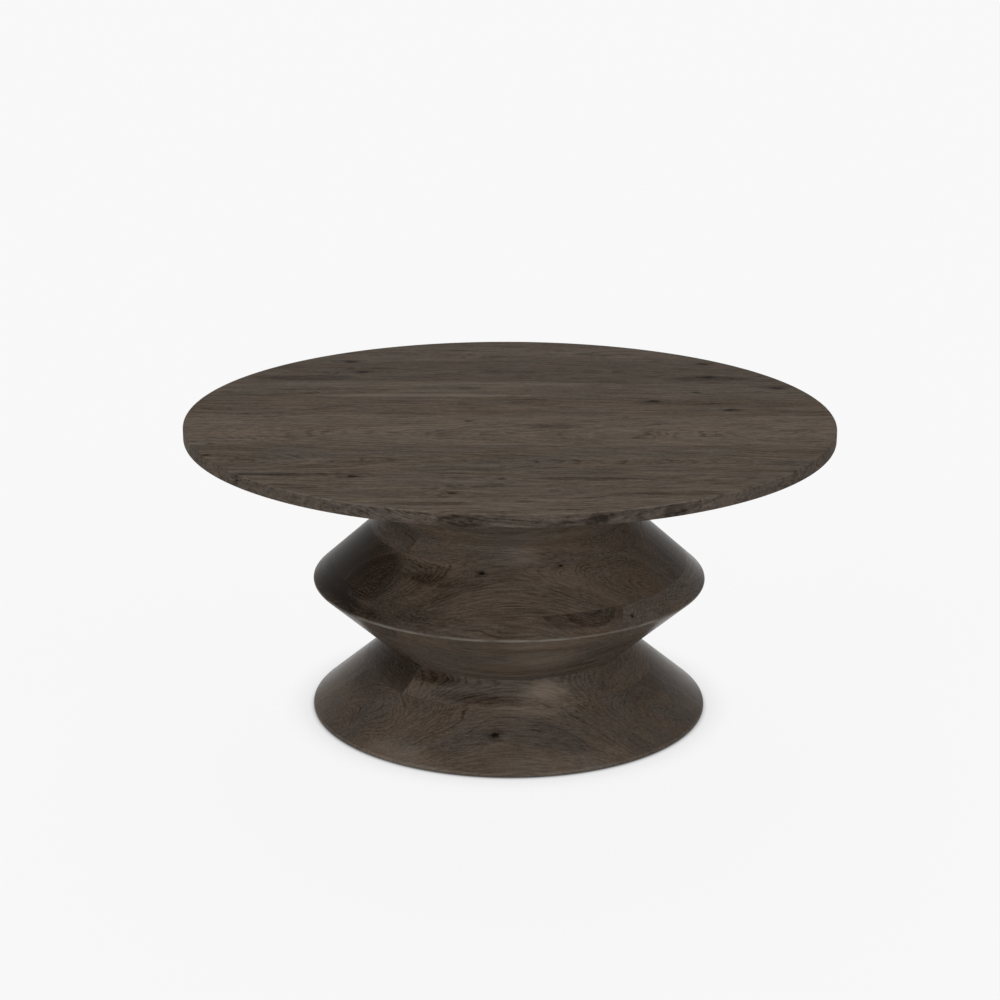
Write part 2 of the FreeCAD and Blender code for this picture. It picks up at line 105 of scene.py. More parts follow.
class WoodColours(bpy.types.PropertyGroup):
    top_light: swatch("Top, light", "Pale wood of the top between its growth rings", "#685D52")
    top_dark: swatch("Top, dark", "Dark growth rings and streaks of the top", "#2C251F")
    base_light: swatch("Base, light", "Pale wood of the base between its growth rings", "#655A50")
    base_dark: swatch("Base, dark", "Dark growth rings and streaks of the base", "#29211A")
    knot: swatch("Knot", "Heart of a knot", "#1A1410")
    # This pale grey of worn edges also serves as their painted highlight
    wear_and_highlight: swatch("Worn edge", "Edges where sanding thinned the stain", "#88827C")
    glue_line: swatch("Glue line", "Stain gathered in the glue lines", "#1E1813")
    zinc: swatch("Zinc", "Plating of the screws, bolts and washers", "#C3C6C9")
    brass: swatch("Brass", "Threaded inserts", "#C9A35A")
    nylon: swatch("Nylon", "Foot glides", "#221C18")


class StageSettings(bpy.types.PropertyGroup):
    distance: length("Distance", "Camera to the table's axis, along the floor", 3.214)
    height: length("Height", "Height of the camera", 1.2995)
    aside: length("Aside", "How far the camera stands to the right of the axis", -0.0135)
    pitch: amount("Pitch", "How far the camera looks down", 0.300, "ROTATION")
    roll: amount("Roll", "Tilt of the camera about its view", 0.0032, "ROTATION")
    focal_length: amount("Focal length", "Focal length in millimetres", 85.0, "CAMERA")
    front_power: amount("Front", "Wide soft lamp beside the camera", 1.35)
    key_power: amount("Key", "Wide soft lamp at the front left", 0.60)
    fill_power: amount("Fill", "Wide soft lamp at the front right", 0.38)
    side_power: amount("Sides", "Each of two wide soft lamps high at the sides", 0.34)
    back_power: amount("Back", "Wide soft lamp high behind the table", 1.62)
    daylight: amount("Daylight", "Even light from all round", 0.08)
    background: amount("Background", "Brightness of the floor and the background", 0.94)
    shadow: amount("Shadow", "Brightness that shadows take away from the floor", 0.044)
    floor_light: amount("Floor light", "How brightly the lamps light a white floor", 0.70)
    contact: length("Contact", "How far the dark line under the foot spreads", 0.05)


# Modelling

# Points nearer to an edge than this lie on it
SLACK = 0.02 * MM
# Faces that meet at less than this are shaded as one smooth surface
SMOOTH_ANGLE = math.radians(35)


def edit_mode(on):
    bpy.ops.object.mode_set(mode="EDIT" if on else "OBJECT")


def select_only(*pieces):
    bpy.ops.object.select_all(action="DESELECT")
    for piece in pieces:
        piece.select_set(True)
    bpy.context.view_layer.objects.active = pieces[0]


def round_edge(piece, radius, height, back, segments):
    """Rounds the edge that runs round a turned piece, so that it catches the light."""
    edit_mode(True)
    bpy.ops.mesh.select_all(action="DESELECT")
    bpy.ops.mesh.select_mode(type="EDGE")
    mesh = bmesh.from_edit_mesh(piece.data)
    for edge in mesh.edges:
        edge.select_set(all(
            abs(math.hypot(end.co.x, end.co.y) - radius) < SLACK
            and abs(end.co.z - height) < SLACK for end in edge.verts))
    bmesh.update_edit_mesh(piece.data)
    bpy.ops.mesh.bevel(offset=back, segments=segments, affect="EDGES")
    edit_mode(False)


def turn_ring(name, corners, steps):
    """A closed ring drawn from corner to corner, each a radius and a height."""
    bpy.ops.object.select_all(action="DESELECT")
    radius, height = corners[0]
    bpy.ops.mesh.primitive_circle_add(vertices=steps, radius=radius, location=(0, 0, height))
    ring = bpy.context.object
    ring.name = name
    bpy.ops.object.transform_apply()
    edit_mode(True)
    bpy.ops.mesh.select_mode(type="EDGE")
    bpy.ops.mesh.select_all(action="SELECT")
    for start, end in zip(corners, corners[1:]):
        bpy.ops.mesh.extrude_region_move(
            TRANSFORM_OT_translate={"value": (0, 0, end[1] - start[1])})
        wider = end[0] / start[0]
        bpy.ops.transform.resize(value=(wider, wider, 1), center_override=(0, 0, end[1]))
    bpy.ops.mesh.select_all(action="DESELECT")
    bpy.ops.mesh.select_non_manifold()
    bpy.ops.mesh.bridge_edge_loops()
    bpy.ops.mesh.select_all(action="SELECT")
    bpy.ops.mesh.normals_make_consistent(inside=False)
    edit_mode(False)
    return ring


def cut_off(piece, point, normal):
    """Saws a piece along a plane, drops what lies in front of it and closes the cut."""
    select_only(piece)
    edit_mode(True)
    bpy.ops.mesh.select_all(action="SELECT")
    bpy.ops.mesh.bisect(
        plane_co=point, plane_no=normal, use_fill=True, clear_outer=True, threshold=1e-7)
    edit_mode(False)


def copy_of(piece, name):
    select_only(piece)
    bpy.ops.object.duplicate(linked=False)
    copy = bpy.context.object
    copy.name = name
    copy.data.name = name
    return copy


def drill(piece, centres, radius, low, high):
    """Drills upright holes into a piece, from one height to another."""
    cutters = []
    for x, y in centres:
        bpy.ops.object.select_all(action="DESELECT")
        bpy.ops.mesh.primitive_cylinder_add(
            vertices=32, radius=radius, depth=high - low, location=(x, y, (low + high) / 2))
        cutters.append(bpy.context.object)
    select_only(*cutters)
    bpy.ops.object.join()
    cutter = bpy.context.object
    bore = piece.modifiers.new("holes", "BOOLEAN")
    bore.object = cutter
    bore.operation = "DIFFERENCE"
    bore.solver = "EXACT"
    select_only(piece)
    bpy.ops.object.modifier_apply(modifier=bore.name)
    bpy.data.objects.remove(cutter)


def finish_board(board, node, material):
    """Smooths a board, gives it its wood, and puts it in the place of its CAD node."""
    select_only(board)
    bpy.ops.object.shade_smooth_by_angle(angle=SMOOTH_ANGLE)
    board.data.materials.append(material)
    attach(board, "root")
    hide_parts(node)


# Outline of the base

# The rings from the floor up. A ring has two long boards along X or across it and two short
# ones between them, or four boards that are mitred
RING_LAY = {
    "foot_ring": "along", "waist_ring": "mitred", "lower_cone_ring": "along",
    "ridge_ring": "across", "upper_cone_ring": "along", "neck_ring": "mitred",
    "head_ring": "along",
}
RING_NAMES = tuple(RING_LAY)
# How far out the joints beside a long board lie, as a share of the ring's bore
JOINT_SHARE = 0.75
# Which way the sides of the table face
SIDES = {"front": (0, -1, 0), "back": (0, 1, 0), "left": (-1, 0, 0), "right": (1, 0, 0)}


def ring_heights(ring):
    heights = [corner.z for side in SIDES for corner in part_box(f"{ring}_{side}")]
    return min(heights), max(heights)


def base_outline(sizes):
    """Corners of the base from the floor up, each a radius and a height."""
    bottom = ring_heights("foot_ring")[0]
    top = ring_heights("head_ring")[1]
    return (
        (sizes.end_radius, bottom),
        (sizes.end_radius, bottom + sizes.end_land),
        (sizes.waist_radius, sizes.waist_height),
        (sizes.ridge_radius, sizes.ridge_height),
        (sizes.waist_radius, sizes.neck_height),
        (sizes.end_radius, top - sizes.end_land),
        (sizes.end_radius, top),
    )


def radius_at(outline, height):
    for (r0, h0), (r1, h1) in zip(outline, outline[1:]):
        if h0 <= height <= h1:
            return r0 + (r1 - r0) * (height - h0) / (h1 - h0)
    raise ValueError("height outside the outline")


def ring_solid(sizes, ring):
    """Turns one ring, bored to leave enough wood where it is slimmest."""
    outline = base_outline(sizes)
    low, high = ring_heights(ring)
    outer = [(radius_at(outline, low), low)]
    outer += [corner for corner in outline if low + SLACK < corner[1] < high - SLACK]
    outer.append((radius_at(outline, high), high))
    bore = min(radius for radius, _ in outer) - sizes.base_wall
    if ring == "head_ring":
        bore = sizes.head_bore
    solid = turn_ring(ring + "_blank", outer + [(bore, high), (bore, low)], sizes.steps)
    if ring == "ridge_ring":
        round_edge(solid, sizes.ridge_radius, sizes.ridge_height, sizes.ridge_round, 4)
    if ring == "foot_ring":
        round_edge(solid, sizes.end_radius, low + sizes.end_land, sizes.foot_round, 4)
        round_edge(solid, sizes.end_radius, low, sizes.foot_round / 2, 2)
    if ring == "head_ring":
        round_edge(solid, sizes.end_radius, high - sizes.end_land, sizes.foot_round, 4)
        round_edge(solid, sizes.end_radius, high, sizes.foot_round / 2, 2)
    return solid, bore


def saw_boards(solid, ring, bore):
    """Saws a ring into its four boards along its glue joints."""
    lay = RING_LAY[ring]
    joint = JOINT_SHARE * bore
    middle = Vector((0, 0, 0))
    boards = {}
    for side, outward in SIDES.items():
        outward = Vector(outward)
        across = Vector((abs(outward.y), abs(outward.x), 0))
        is_long = (lay == "along") == (side in ("front", "back"))
        if lay == "mitred":
            cuts = ((middle, across - outward), (middle, -across - outward))
        elif is_long:
            cuts = ((outward * joint, -outward),)
        else:
            cuts = ((across * joint, across), (across * -joint, -across), (middle, -outward))
        board = copy_of(solid, f"{ring}_{side}_board")
        for point, normal in cuts:
            cut_off(board, point, normal.normalized())
        boards[side] = board
    bpy.data.objects.remove(solid)
    return boards


# Materials

def add(tree, kind, inputs=(), **settings):
    """Adds a shader node with its settings, and with values or links for its inputs."""
    node = tree.nodes.new("ShaderNode" + kind)
    for name, setting in settings.items():
        setattr(node, name, setting)
    for key, source in dict(inputs).items():
        if isinstance(source, bpy.types.Node):
            source = source.outputs[0]
        if isinstance(source, bpy.types.NodeSocket):
            tree.links.new(source, node.inputs[key])
        else:
            node.inputs[key].default_value = source
    return node


def new_material(name):
    material = bpy.data.materials.new(name)
    material.use_nodes = True
    material.node_tree.nodes.clear()
    return material, material.node_tree


def tinted(colour, tone, warmth):
    red, green, blue = colour
    return (red * tone * (1 + warmth), green * tone, blue * tone * (1 - warmth), 1)


# What a board shows unless it says otherwise. Ring, band, sway, reach, ripple and ragged are
# millimetres, and line and fleck are millimetres along the grain and across it. The depths,
# ground, fibre, streak, blotch, lines, flecks, pores and rim say how much each darkens the
# wood. Tone, warmth and redness tint it
BOARD_DEFAULTS = {
    "grain": "X", "seed": 1.0, "pith": (0, 0), "ring": 4.2, "taper": 0.02,
    "sway": 40.0, "reach": 320.0, "ripple": 7.0, "ragged": 2.0, "band": 18.0,
    "band_depth": 0.5, "ring_depth": 0.5, "ground": 0.24, "fibre": 0.75, "streak": 0.4,
    "blotch": 0.15, "line": (60.0, 5.0), "lines": 0.55, "fleck": (8.0, 4.5), "flecks": 0.8,
    "pores": 0.1, "tone": 1.0, "warmth": 0.0, "redness": 0.15, "knots": (),
    "knot_squeeze": (0.5, 1.0, 0.35), "swirls": (), "swirl_depth": 0.0, "patches": (),
    "seams": (), "face": 0.0, "rim": 0.0, "wear_and_highlight": (), "gloss": 0.003,
    "roughness": (0.48, 0.60),
}
# Tints of red, green and blue: of redder wood, and of the painted cooler light on the top's
# turned edge
REDDER = (1.12, 1.0, 0.87, 1)
COOL_EDGE_LIGHT = (0.96, 1.0, 1.07, 1)
# How deep below the top's face its turned edge begins and is reached in full
EDGE_START = 1.2 * MM
EDGE_FULL = 2.2 * MM
# Streaks of fibre in millimetres along the grain, across the growth rings and along them.
# They and the pores are drawn several times as wide as real ones, so that they show
FIBRE_LENGTH, FIBRE_WIDTH, FIBRE_BREADTH = 48, 1.3, 8
# Where a patch of heartwood, sapwood or painted light ends, in its reaches from its middle
PATCH_END = 1.15


def solid_wood(name, light, dark, colours, board):
    """Open-grained hardwood, sanded, stained dark and thinly lacquered. It gives the eye
    growth rings that run on through the board, short dark pores, streaks of stain, knots
    that turn the rings aside, and a dull sheen at low angles."""
    material, tree = new_material(name)
    board = {**BOARD_DEFAULTS, **board}
    seed = board["seed"]
    # Place is in metres. Spot is in millimetres, with the grain along its first axis
    place = add(tree, "TexCoord").outputs["Object"]
    axes = add(tree, "SeparateXYZ", {0: place})
    turned = (0, 0, -math.pi / 2) if board["grain"] == "Y" else (0, 0, 0)
    spot = add(tree, "Mapping", {"Vector": place, "Rotation": turned, "Scale": (1 / MM,) * 3})
    parts = add(tree, "SeparateXYZ", {0: spot})

    def lumps(along, across, detail=2.0, rough=0.5, shift=0):
        """Lumps of those millimetres, along the grain and across it."""
        scaled = add(tree, "VectorMath", {
            0: spot, 1: (1 / along, 1 / across, 1 / across),
            2: (seed * 7.31 + shift, seed * 3.17 - shift, seed * 5.57 + shift)},
            operation="MULTIPLY_ADD")
        return add(tree, "TexNoise", {
            "Vector": scaled, "Scale": 1.0, "Detail": detail, "Roughness": rough})

    # The heart of the trunk, and how its rings sway along the board
    sway, ripple = board["sway"], board["ripple"]
    wander = add(tree, "VectorMath", {
        0: lumps(board["reach"], board["reach"] / 3).outputs["Color"], 1: (0, sway, sway),
        2: (0, -sway / 2 - board["pith"][0], -sway / 2 - board["pith"][1])},
        operation="MULTIPLY_ADD")
    wander = add(tree, "VectorMath", {
        0: lumps(60, 22, shift=83).outputs["Color"], 1: (0, ripple, ripple), 2: wander},
        operation="MULTIPLY_ADD")
    from_pith = add(tree, "VectorMath", {0: spot, 1: (0, 1, 1), 2: wander},
                    operation="MULTIPLY_ADD")
    radius = add(tree, "VectorMath", {0: from_pith}, operation="LENGTH").outputs["Value"]
    radius = add(tree, "Math", {0: parts.outputs[0], 1: board["taper"], 2: radius},
                 operation="MULTIPLY_ADD")
    radius = add(tree, "Math", {
        0: lumps(16, 5, detail=3, shift=11), 1: board["ragged"], 2: radius},
        operation="MULTIPLY_ADD")
    bold = 1.0
    for x, y, z, reach, push in board["swirls"]:
        # Rings that close round a hidden branch or a burr, and show more boldly there
        distance = add(tree, "VectorMath", {0: place, 1: (x * MM, y * MM, z * MM)},
                       operation="DISTANCE").outputs["Value"]
        bulge = add(tree, "MapRange", {
            "Value": distance, "From Max": reach * MM, "To Min": 1.0, "To Max": 0.0},
            interpolation_type="SMOOTHSTEP")
        radius = add(tree, "Math", {0: bulge, 1: push, 2: radius}, operation="MULTIPLY_ADD")
        bold = add(tree, "Math", {0: bulge, 1: board["swirl_depth"], 2: bold},
                   operation="MULTIPLY_ADD")
    # A knot pushes the growth rings aside, and has a dark heart in a wider stained halo. How
    # far each of these goes is a share of the knot's size
    heart = 0.0
    halo = 0.0
    stretch = board["knot_squeeze"]
    squeeze = add(tree, "VectorMath", {0: spot, 1: stretch}, operation="MULTIPLY")
    rough_spot = lumps(9, 6, detail=3, shift=23)
    for x, y, z, size in board["knots"]:
        along, across = (y, -x) if board["grain"] == "Y" else (x, y)
        centre = (along * stretch[0], across * stretch[1], z * stretch[2])
        distance = add(tree, "VectorMath", {0: squeeze, 1: centre},
                       operation="DISTANCE").outputs["Value"]
        push = add(tree, "MapRange", {
            "Value": distance, "From Max": size * 3.6, "To Min": size * 1.2, "To Max": 0.0},
            interpolation_type="SMOOTHSTEP")
        radius = add(tree, "Math", {0: radius, 1: push}, operation="ADD")
        ragged = add(tree, "Math", {0: rough_spot, 1: size * 0.9, 2: distance},
                     operation="MULTIPLY_ADD")
        within = add(tree, "MapRange", {
            "Value": ragged, "From Min": size * 0.75, "From Max": size * 1.15,
            "To Min": 1.0, "To Max": 0.0}, interpolation_type="SMOOTHSTEP")
        heart = add(tree, "Math", {0: heart, 1: within}, operation="MAXIMUM")
        around = add(tree, "MapRange", {
            "Value": ragged, "From Min": size * 0.8, "From Max": size * 2.4,
            "To Min": 1.0, "To Max": 0.0}, interpolation_type="SMOOTHSTEP")
        halo = add(tree, "Math", {0: halo, 1: around}, operation="MAXIMUM")

    # Bands of dark and pale growth, from several centimetres down to single years
    band_place = add(tree, "Math", {0: radius, 1: 1 / board["band"], 2: seed * 9.7},
                     operation="MULTIPLY_ADD")
    band = add(tree, "TexNoise", {
        "W": band_place, "Scale": 1.0, "Detail": 5.0, "Roughness": 0.62},
        noise_dimensions="1D")
    # Growth rings of uneven width: pale early wood that darkens slowly and then ends
    slow = add(tree, "Math", {0: radius, 1: 1 / (board["ring"] * 5)}, operation="MULTIPLY")
    uneven = add(tree, "TexNoise", {"W": slow, "Scale": 1.0, "Detail": 1.0},
                 noise_dimensions="1D")
    uneven = add(tree, "Math", {0: uneven, 1: 5.0}, operation="MULTIPLY")
    count = add(tree, "Math", {0: radius, 1: 1 / board["ring"], 2: uneven},
                operation="MULTIPLY_ADD")
    phase = add(tree, "Math", {0: count}, operation="FRACT")
    year = add(tree, "Math", {0: count}, operation="FLOOR")
    year = add(tree, "TexWhiteNoise", {"W": year}, noise_dimensions="1D")
    profile = add(tree, "ValToRGB", {"Fac": phase})
    for end in profile.color_ramp.elements:
        end.color = (0.55, 0.55, 0.55, 1)
    for position, grey in ((0.14, 0.0), (0.56, 0.08), (0.86, 1.0)):
        stop = profile.color_ramp.elements.new(position)
        stop.color = (grey, grey, grey, 1)
    # Some years are fainter than others, and all fade here and there along the board
    faint = add(tree, "MapRange", {"Value": year, "To Min": 0.35})
    fading = add(tree, "MapRange", {
        "Value": lumps(90, 30, shift=91), "From Min": 0.35, "From Max": 0.65,
        "To Min": 0.3})
    rings = profile
    for strength in (faint, fading, bold):
        rings = add(tree, "Math", {0: rings, 1: strength}, operation="MULTIPLY")

    # Fibres lie in the rings, so they bend with them
    fibre_spot = add(tree, "CombineXYZ", {0: parts.outputs[0], 1: radius, 2: parts.outputs[1]})
    fibre_spot = add(tree, "VectorMath", {
        0: fibre_spot, 1: (1 / FIBRE_LENGTH, 1 / FIBRE_WIDTH, 1 / FIBRE_BREADTH)},
        operation="MULTIPLY")
    fibre = add(tree, "TexNoise", {
        "Vector": fibre_spot, "Scale": 1.0, "Detail": 3.0, "Roughness": 0.6})
    lines = add(tree, "MapRange", {
        "Value": lumps(*board["line"], detail=4, rough=0.65, shift=17), "From Min": 0.3,
        "From Max": 0.7})
    streak = lumps(240, 22, detail=3, shift=31)
    pores = add(tree, "MapRange", {
        "Value": lumps(10, 1.1, detail=1, shift=47), "From Min": 0.6, "From Max": 0.72})
    blotch = lumps(110, 55, detail=4, rough=0.6, shift=59)
    flecks = lumps(*board["fleck"], rough=0.7, shift=37)

    # How dark the wood is: 0 is its pale colour and 1 its dark one
    shade = add(tree, "Math", {0: rings, 1: board["ring_depth"], 2: board["ground"]},
                operation="MULTIPLY_ADD")
    for source, share in (
            (band, board["band_depth"]), (fibre, board["fibre"]), (streak, board["streak"]),
            (blotch, board["blotch"]), (lines, board["lines"]), (flecks, board["flecks"])):
        centred = add(tree, "Math", {0: source, 1: 0.5}, operation="SUBTRACT")
        shade = add(tree, "Math", {0: centred, 1: share, 2: shade}, operation="MULTIPLY_ADD")
    if board["knots"]:
        shade = add(tree, "Math", {0: halo, 1: 0.3, 2: shade}, operation="MULTIPLY_ADD")
    for centre, reaches, depth, soft in board["patches"]:
        near = add(tree, "VectorMath", {
            0: place, 1: [1 / (MM * reach) for reach in reaches],
            2: [-middle / reach for middle, reach in zip(centre, reaches)]},
            operation="MULTIPLY_ADD")
        near = add(tree, "VectorMath", {0: near}, operation="LENGTH").outputs["Value"]
        for ragged, share in ((blotch, 0.4), (lines, 0.2)):
            near = add(tree, "Math", {0: ragged, 1: share, 2: near}, operation="MULTIPLY_ADD")
        near = add(tree, "MapRange", {
            "Value": near, "From Min": PATCH_END - soft, "From Max": PATCH_END + soft,
            "To Min": depth, "To Max": 0.0}, interpolation_type="SMOOTHSTEP")
        shade = add(tree, "Math", {0: shade, 1: near}, operation="ADD")
    if board["rim"]:
        # The turned edge is drawn darker than the sanded face, and greyer as painted cooler light
        # from the sides
        rim = add(tree, "MapRange", {
            "Value": axes.outputs[2], "From Min": board["face"] - EDGE_FULL,
            "From Max": board["face"] - EDGE_START, "To Min": 1.0, "To Max": 0.0})
        shade = add(tree, "Math", {0: rim, 1: board["rim"], 2: shade},
                    operation="MULTIPLY_ADD")
    shade = add(tree, "Math", {0: pores, 1: board["pores"], 2: shade},
                operation="MULTIPLY_ADD")
    # Below 0 the wood is drawn paler than its pale colour, for pale patches and painted
    # highlights
    shade = add(tree, "Clamp", {0: shade, 1: -0.7, 2: 1.0})
    colour = add(tree, "Mix", {
        0: shade, 6: tinted(light, board["tone"], board["warmth"]),
        7: tinted(dark, board["tone"], board["warmth"])}, data_type="RGBA",
        clamp_factor=False).outputs[2]
    # Some of the wood is redder, and some less red
    red = add(tree, "MapRange", {
        "Value": lumps(90, 36, detail=1, shift=101), "From Min": 0.35, "From Max": 0.65,
        "To Min": -board["redness"], "To Max": board["redness"]})
    colour = add(tree, "Mix", {0: red, 6: colour, 7: REDDER}, data_type="RGBA",
                 blend_type="MULTIPLY", clamp_factor=False).outputs[2]
    # Painted cooler light on the turned edge
    if board["rim"]:
        colour = add(tree, "Mix", {0: rim, 6: colour, 7: COOL_EDGE_LIGHT}, data_type="RGBA",
                     blend_type="MULTIPLY").outputs[2]
    if board["knots"]:
        colour = add(tree, "Mix", {0: heart, 6: colour, 7: (*colours.knot, 1)},
                     data_type="RGBA").outputs[2]
    # Stain that gathered in the glue lines comes and goes along them
    patchy = add(tree, "MapRange", {
        "Value": lumps(55, 20, shift=71), "From Min": 0.35, "From Max": 0.6, "To Min": 0.2})
    for axis, where, width, depth in board["seams"]:
        off = add(tree, "Math", {0: axes.outputs[axis], 1: where}, operation="SUBTRACT")
        off = add(tree, "Math", {0: off}, operation="ABSOLUTE")
        line = add(tree, "MapRange", {
            "Value": off, "From Min": width * 0.4, "From Max": width, "To Min": depth,
            "To Max": 0.0})
        line = add(tree, "Math", {0: line, 1: patchy}, operation="MULTIPLY")
        colour = add(tree, "Mix", {0: line, 6: colour, 7: (*colours.glue_line, 1)},
                     data_type="RGBA").outputs[2]
    # Edges where sanding wore the stain thin, drawn pale grey also as a painted highlight
    flat = add(tree, "VectorMath", {0: place, 1: (1, 1, 0)}, operation="MULTIPLY")
    from_axis = add(tree, "VectorMath", {0: flat}, operation="LENGTH").outputs["Value"]
    for edge_radius, edge_height, width, depth in board["wear_and_highlight"]:
        out = add(tree, "Math", {0: from_axis, 1: edge_radius}, operation="SUBTRACT")
        up = add(tree, "Math", {0: axes.outputs[2], 1: edge_height}, operation="SUBTRACT")
        off = add(tree, "CombineXYZ", {0: out, 1: up})
        off = add(tree, "VectorMath", {0: off}, operation="LENGTH").outputs["Value"]
        # Mask of the worn edge and its painted highlight
        thin = add(tree, "MapRange", {
            "Value": off, "From Min": width * 0.4, "From Max": width, "To Min": depth,
            "To Max": 0.0}, interpolation_type="SMOOTHSTEP")
        thin = add(tree, "Math", {0: thin, 1: patchy}, operation="MULTIPLY")
        colour = add(tree, "Mix", {0: thin, 6: colour, 7: (*colours.wear_and_highlight, 1)},
                     data_type="RGBA").outputs[2]

    # Thin lacquer, duller over open pores and dark late wood
    dull = add(tree, "MapRange", {
        "Value": shade, "To Min": board["roughness"][0], "To Max": board["roughness"][1]})
    pits = add(tree, "Math", {0: pores, 1: -0.6}, operation="MULTIPLY")
    relief = add(tree, "Math", {0: fibre, 1: 0.5, 2: pits}, operation="MULTIPLY_ADD")
    bump = add(tree, "Bump", {"Height": relief, "Strength": 0.35, "Distance": 0.15 * MM})
    shader = add(tree, "BsdfPrincipled", {
        "Base Color": colour, "Roughness": dull, "Normal": bump, "IOR": 1.5,
        "Specular IOR Level": board["gloss"]})
    add(tree, "OutputMaterial", {"Surface": shader})
    return material


# Widths of a glue line and of the top's worn corner with its painted highlight
SEAM_WIDTH = 0.4 * MM
ARRIS_WIDTH = 1.8 * MM
# Glue joints of the top from front to back, in millimetres from the middle
TOP_JOINTS = (-390.2, -269.9, -148.2, 7.8, 108.0, 201.3, 306.1)

# The top's boards from front to back, in millimetres: the heart's place across and in height,
# knots with their sizes, and patches, each a middle, its reaches, a depth and how softly it
# ends. Rim and arris say how dark the turned edge is and how strongly its upper corner is drawn
# worn, with a painted highlight
TOP_BOARDS = (
    dict(seed=1.3, pith=(-330, 250), tone=1.13, rim=0.24, arris=0.4, patches=(
        ((-105, -414, 428), (70, 8, 20), 0.3, 0.3),
        ((-65, -455, 417), (40, 16, 10), 0.35, 0.2),
        ((107, -446, 417), (20, 16, 10), 0.3, 0.2),
        ((205, -408, 417), (20, 24, 12), 0.3, 0.2))),
    dict(seed=2.1, pith=(-322, 300), rim=0.06, arris=0.3,
         knots=((-12, -306, 428, 4), (-203, -297, 428, 8), (-74, -369, 428, 6)),
         patches=(((93, -303, 428), (80, 8, 20), 0.35, 0.3),
                  ((-290, -288, 428), (110, 7, 20), 0.35, 0.3))),
    dict(seed=3.7, pith=(-222, 385), taper=0.12, tone=0.95, redness=0.3, rim=0.02,
         knots=((-405, -201, 428, 4),)),
    dict(seed=4.9, pith=(-84, 375), taper=-0.15, tone=1.12, warmth=0.01, rim=0.02,
         knots=((-60, -24, 428, 4), (-405, -147, 428, 4)),
         patches=(((63, -51, 428), (42, 14, 20), 0.3, 0.4),)),
    dict(seed=5.2, pith=(40, 330), tone=0.865, warmth=0.035, redness=0.3, rim=0.05,
         knots=((206, 86, 428, 11), (313, 40, 428, 6)),
         patches=(((330, 70, 428), (90, 18, 20), 0.2, 0.4),)),
    dict(seed=6.6, pith=(150, 350), tone=0.9, rim=0.05,
         knots=((394, 165, 428, 9), (273, 138, 428, 4)),
         patches=(((-130, 116, 428), (230, 8, 20), -0.45, 0.4),
                  ((-100, 180, 428), (260, 14, 20), -0.2, 0.4))),
    dict(seed=7.4, pith=(260, 360), tone=0.71, warmth=0.025, rim=0.05,
         knots=((-220, 254, 428, 9), (297, 230, 428, 7)),
         patches=(((-303, 218, 428), (80, 16, 20), 0.3, 0.3),
                  ((300, 222, 428), (70, 16, 20), 0.3, 0.3))),
    dict(seed=8.8, pith=(380, 340), tone=0.78, warmth=0.015, rim=0.05,
         knots=((-245, 320, 428, 9), (297, 310, 428, 8))),
)

# Heartwood at the left of the upper cone
HEARTWOOD = (((-215, -90, 244), (98, 130, 50), 0.36, 0.14),
             ((-150, -160, 228), (124, 110, 52), 0.2, 0.14),
             ((-255, -10, 236), (100, 120, 56), 0.6, 0.5))
